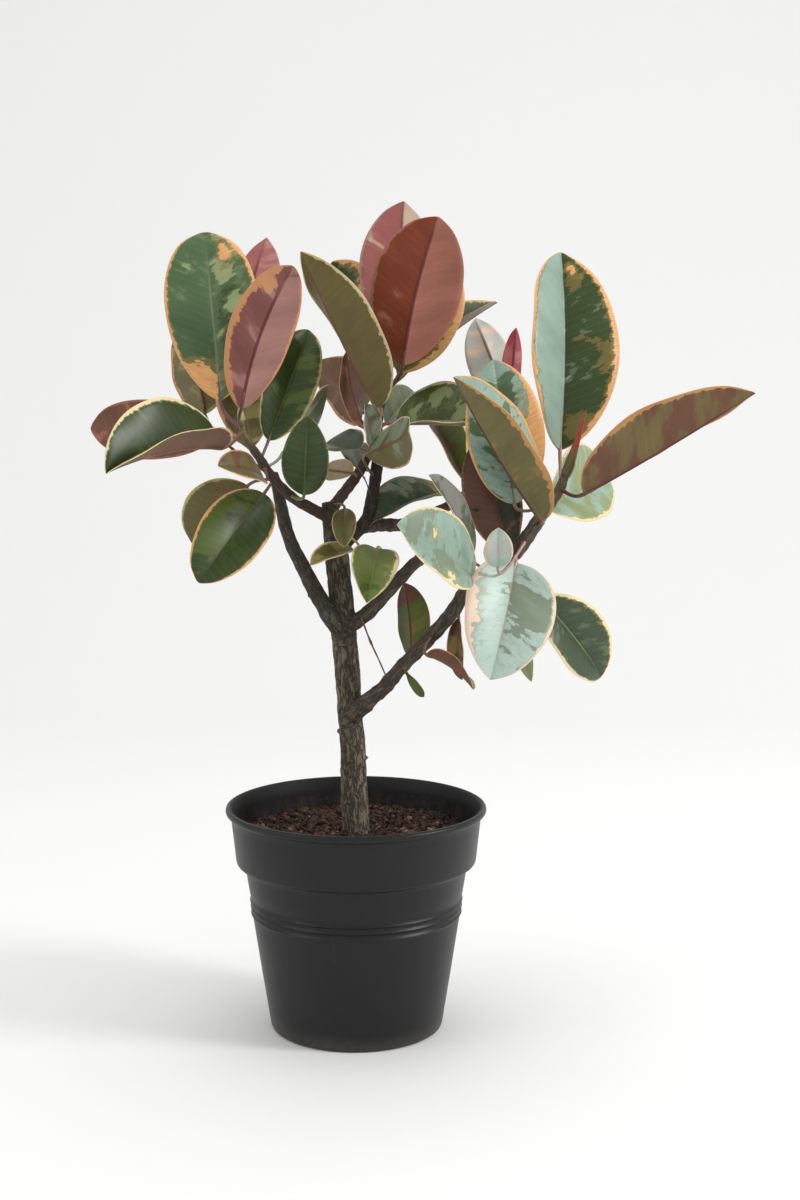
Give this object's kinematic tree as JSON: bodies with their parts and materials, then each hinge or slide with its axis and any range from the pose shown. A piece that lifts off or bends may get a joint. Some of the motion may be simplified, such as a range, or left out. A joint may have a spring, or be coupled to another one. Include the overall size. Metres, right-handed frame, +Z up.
{
  "type": "potted rubber plant",
  "caption": "Variegated rubber plant: branching woody stem with broad, pointed, cream-edged leaves, standing in soil in a black plastic nursery pot with a rolled rim.",
  "frame": {"origin": "centre of the pot's flat foot, on the surface the pot stands on", "axes": "+Z up along the pot's axis, -Y towards the front of the plant, +X to the right seen from the front"},
  "size_m": [0.5804, 0.3215, 0.7601],
  "materials": {
    "pot": "satin",
    "soil": "rough",
    "bark": "rough",
    "leaf": "waxy",
    "bud": "waxy"
  },
  "bodies": {
    "root": {"pot": "pot", "soil": "soil", "trunk": "bark", "left_limb": "bark", "left_shoot": "bark", "centre_shoot": "bark", "leader": "bark", "inner_limb": "bark", "mid_limb": "bark", "low_limb": "bark", "bud_left": "bud", "bud_right": "bud", "leaf_left_01": "leaf", "leaf_left_02": "leaf", "leaf_left_03": "leaf", "leaf_left_04": "leaf", "leaf_left_05": "leaf", "leaf_left_06": "leaf", "leaf_left_07": "leaf", "leaf_left_08": "leaf", "leaf_left_09": "leaf", "leaf_left_10": "leaf", "leaf_left_11": "leaf", "leaf_left_12": "leaf", "leaf_left_13": "leaf", "leaf_mid_01": "leaf", "leaf_mid_02": "leaf", "leaf_mid_03": "leaf", "leaf_mid_04": "leaf", "leaf_mid_05": "leaf", "leaf_mid_06": "leaf", "leaf_mid_07": "leaf", "leaf_mid_08": "leaf", "leaf_mid_09": "leaf", "leaf_mid_10": "leaf", "leaf_mid_11": "leaf", "leaf_mid_12": "leaf", "leaf_mid_13": "leaf", "leaf_mid_14": "leaf", "leaf_mid_15": "leaf", "leaf_right_01": "leaf", "leaf_right_02": "leaf", "leaf_right_03": "leaf", "leaf_right_04": "leaf", "leaf_right_05": "leaf", "leaf_right_06": "leaf", "leaf_right_07": "leaf", "leaf_right_08": "leaf", "leaf_right_09": "leaf", "leaf_right_10": "leaf", "leaf_right_11": "leaf", "leaf_right_12": "leaf", "leaf_right_13": "leaf", "leaf_right_14": "leaf", "leaf_right_15": "leaf", "leaf_right_16": "leaf", "leaf_right_17": "leaf", "leaf_right_18": "leaf", "leaf_right_19": "leaf", "leaf_right_20": "leaf"}
  },
  "joints": []
}
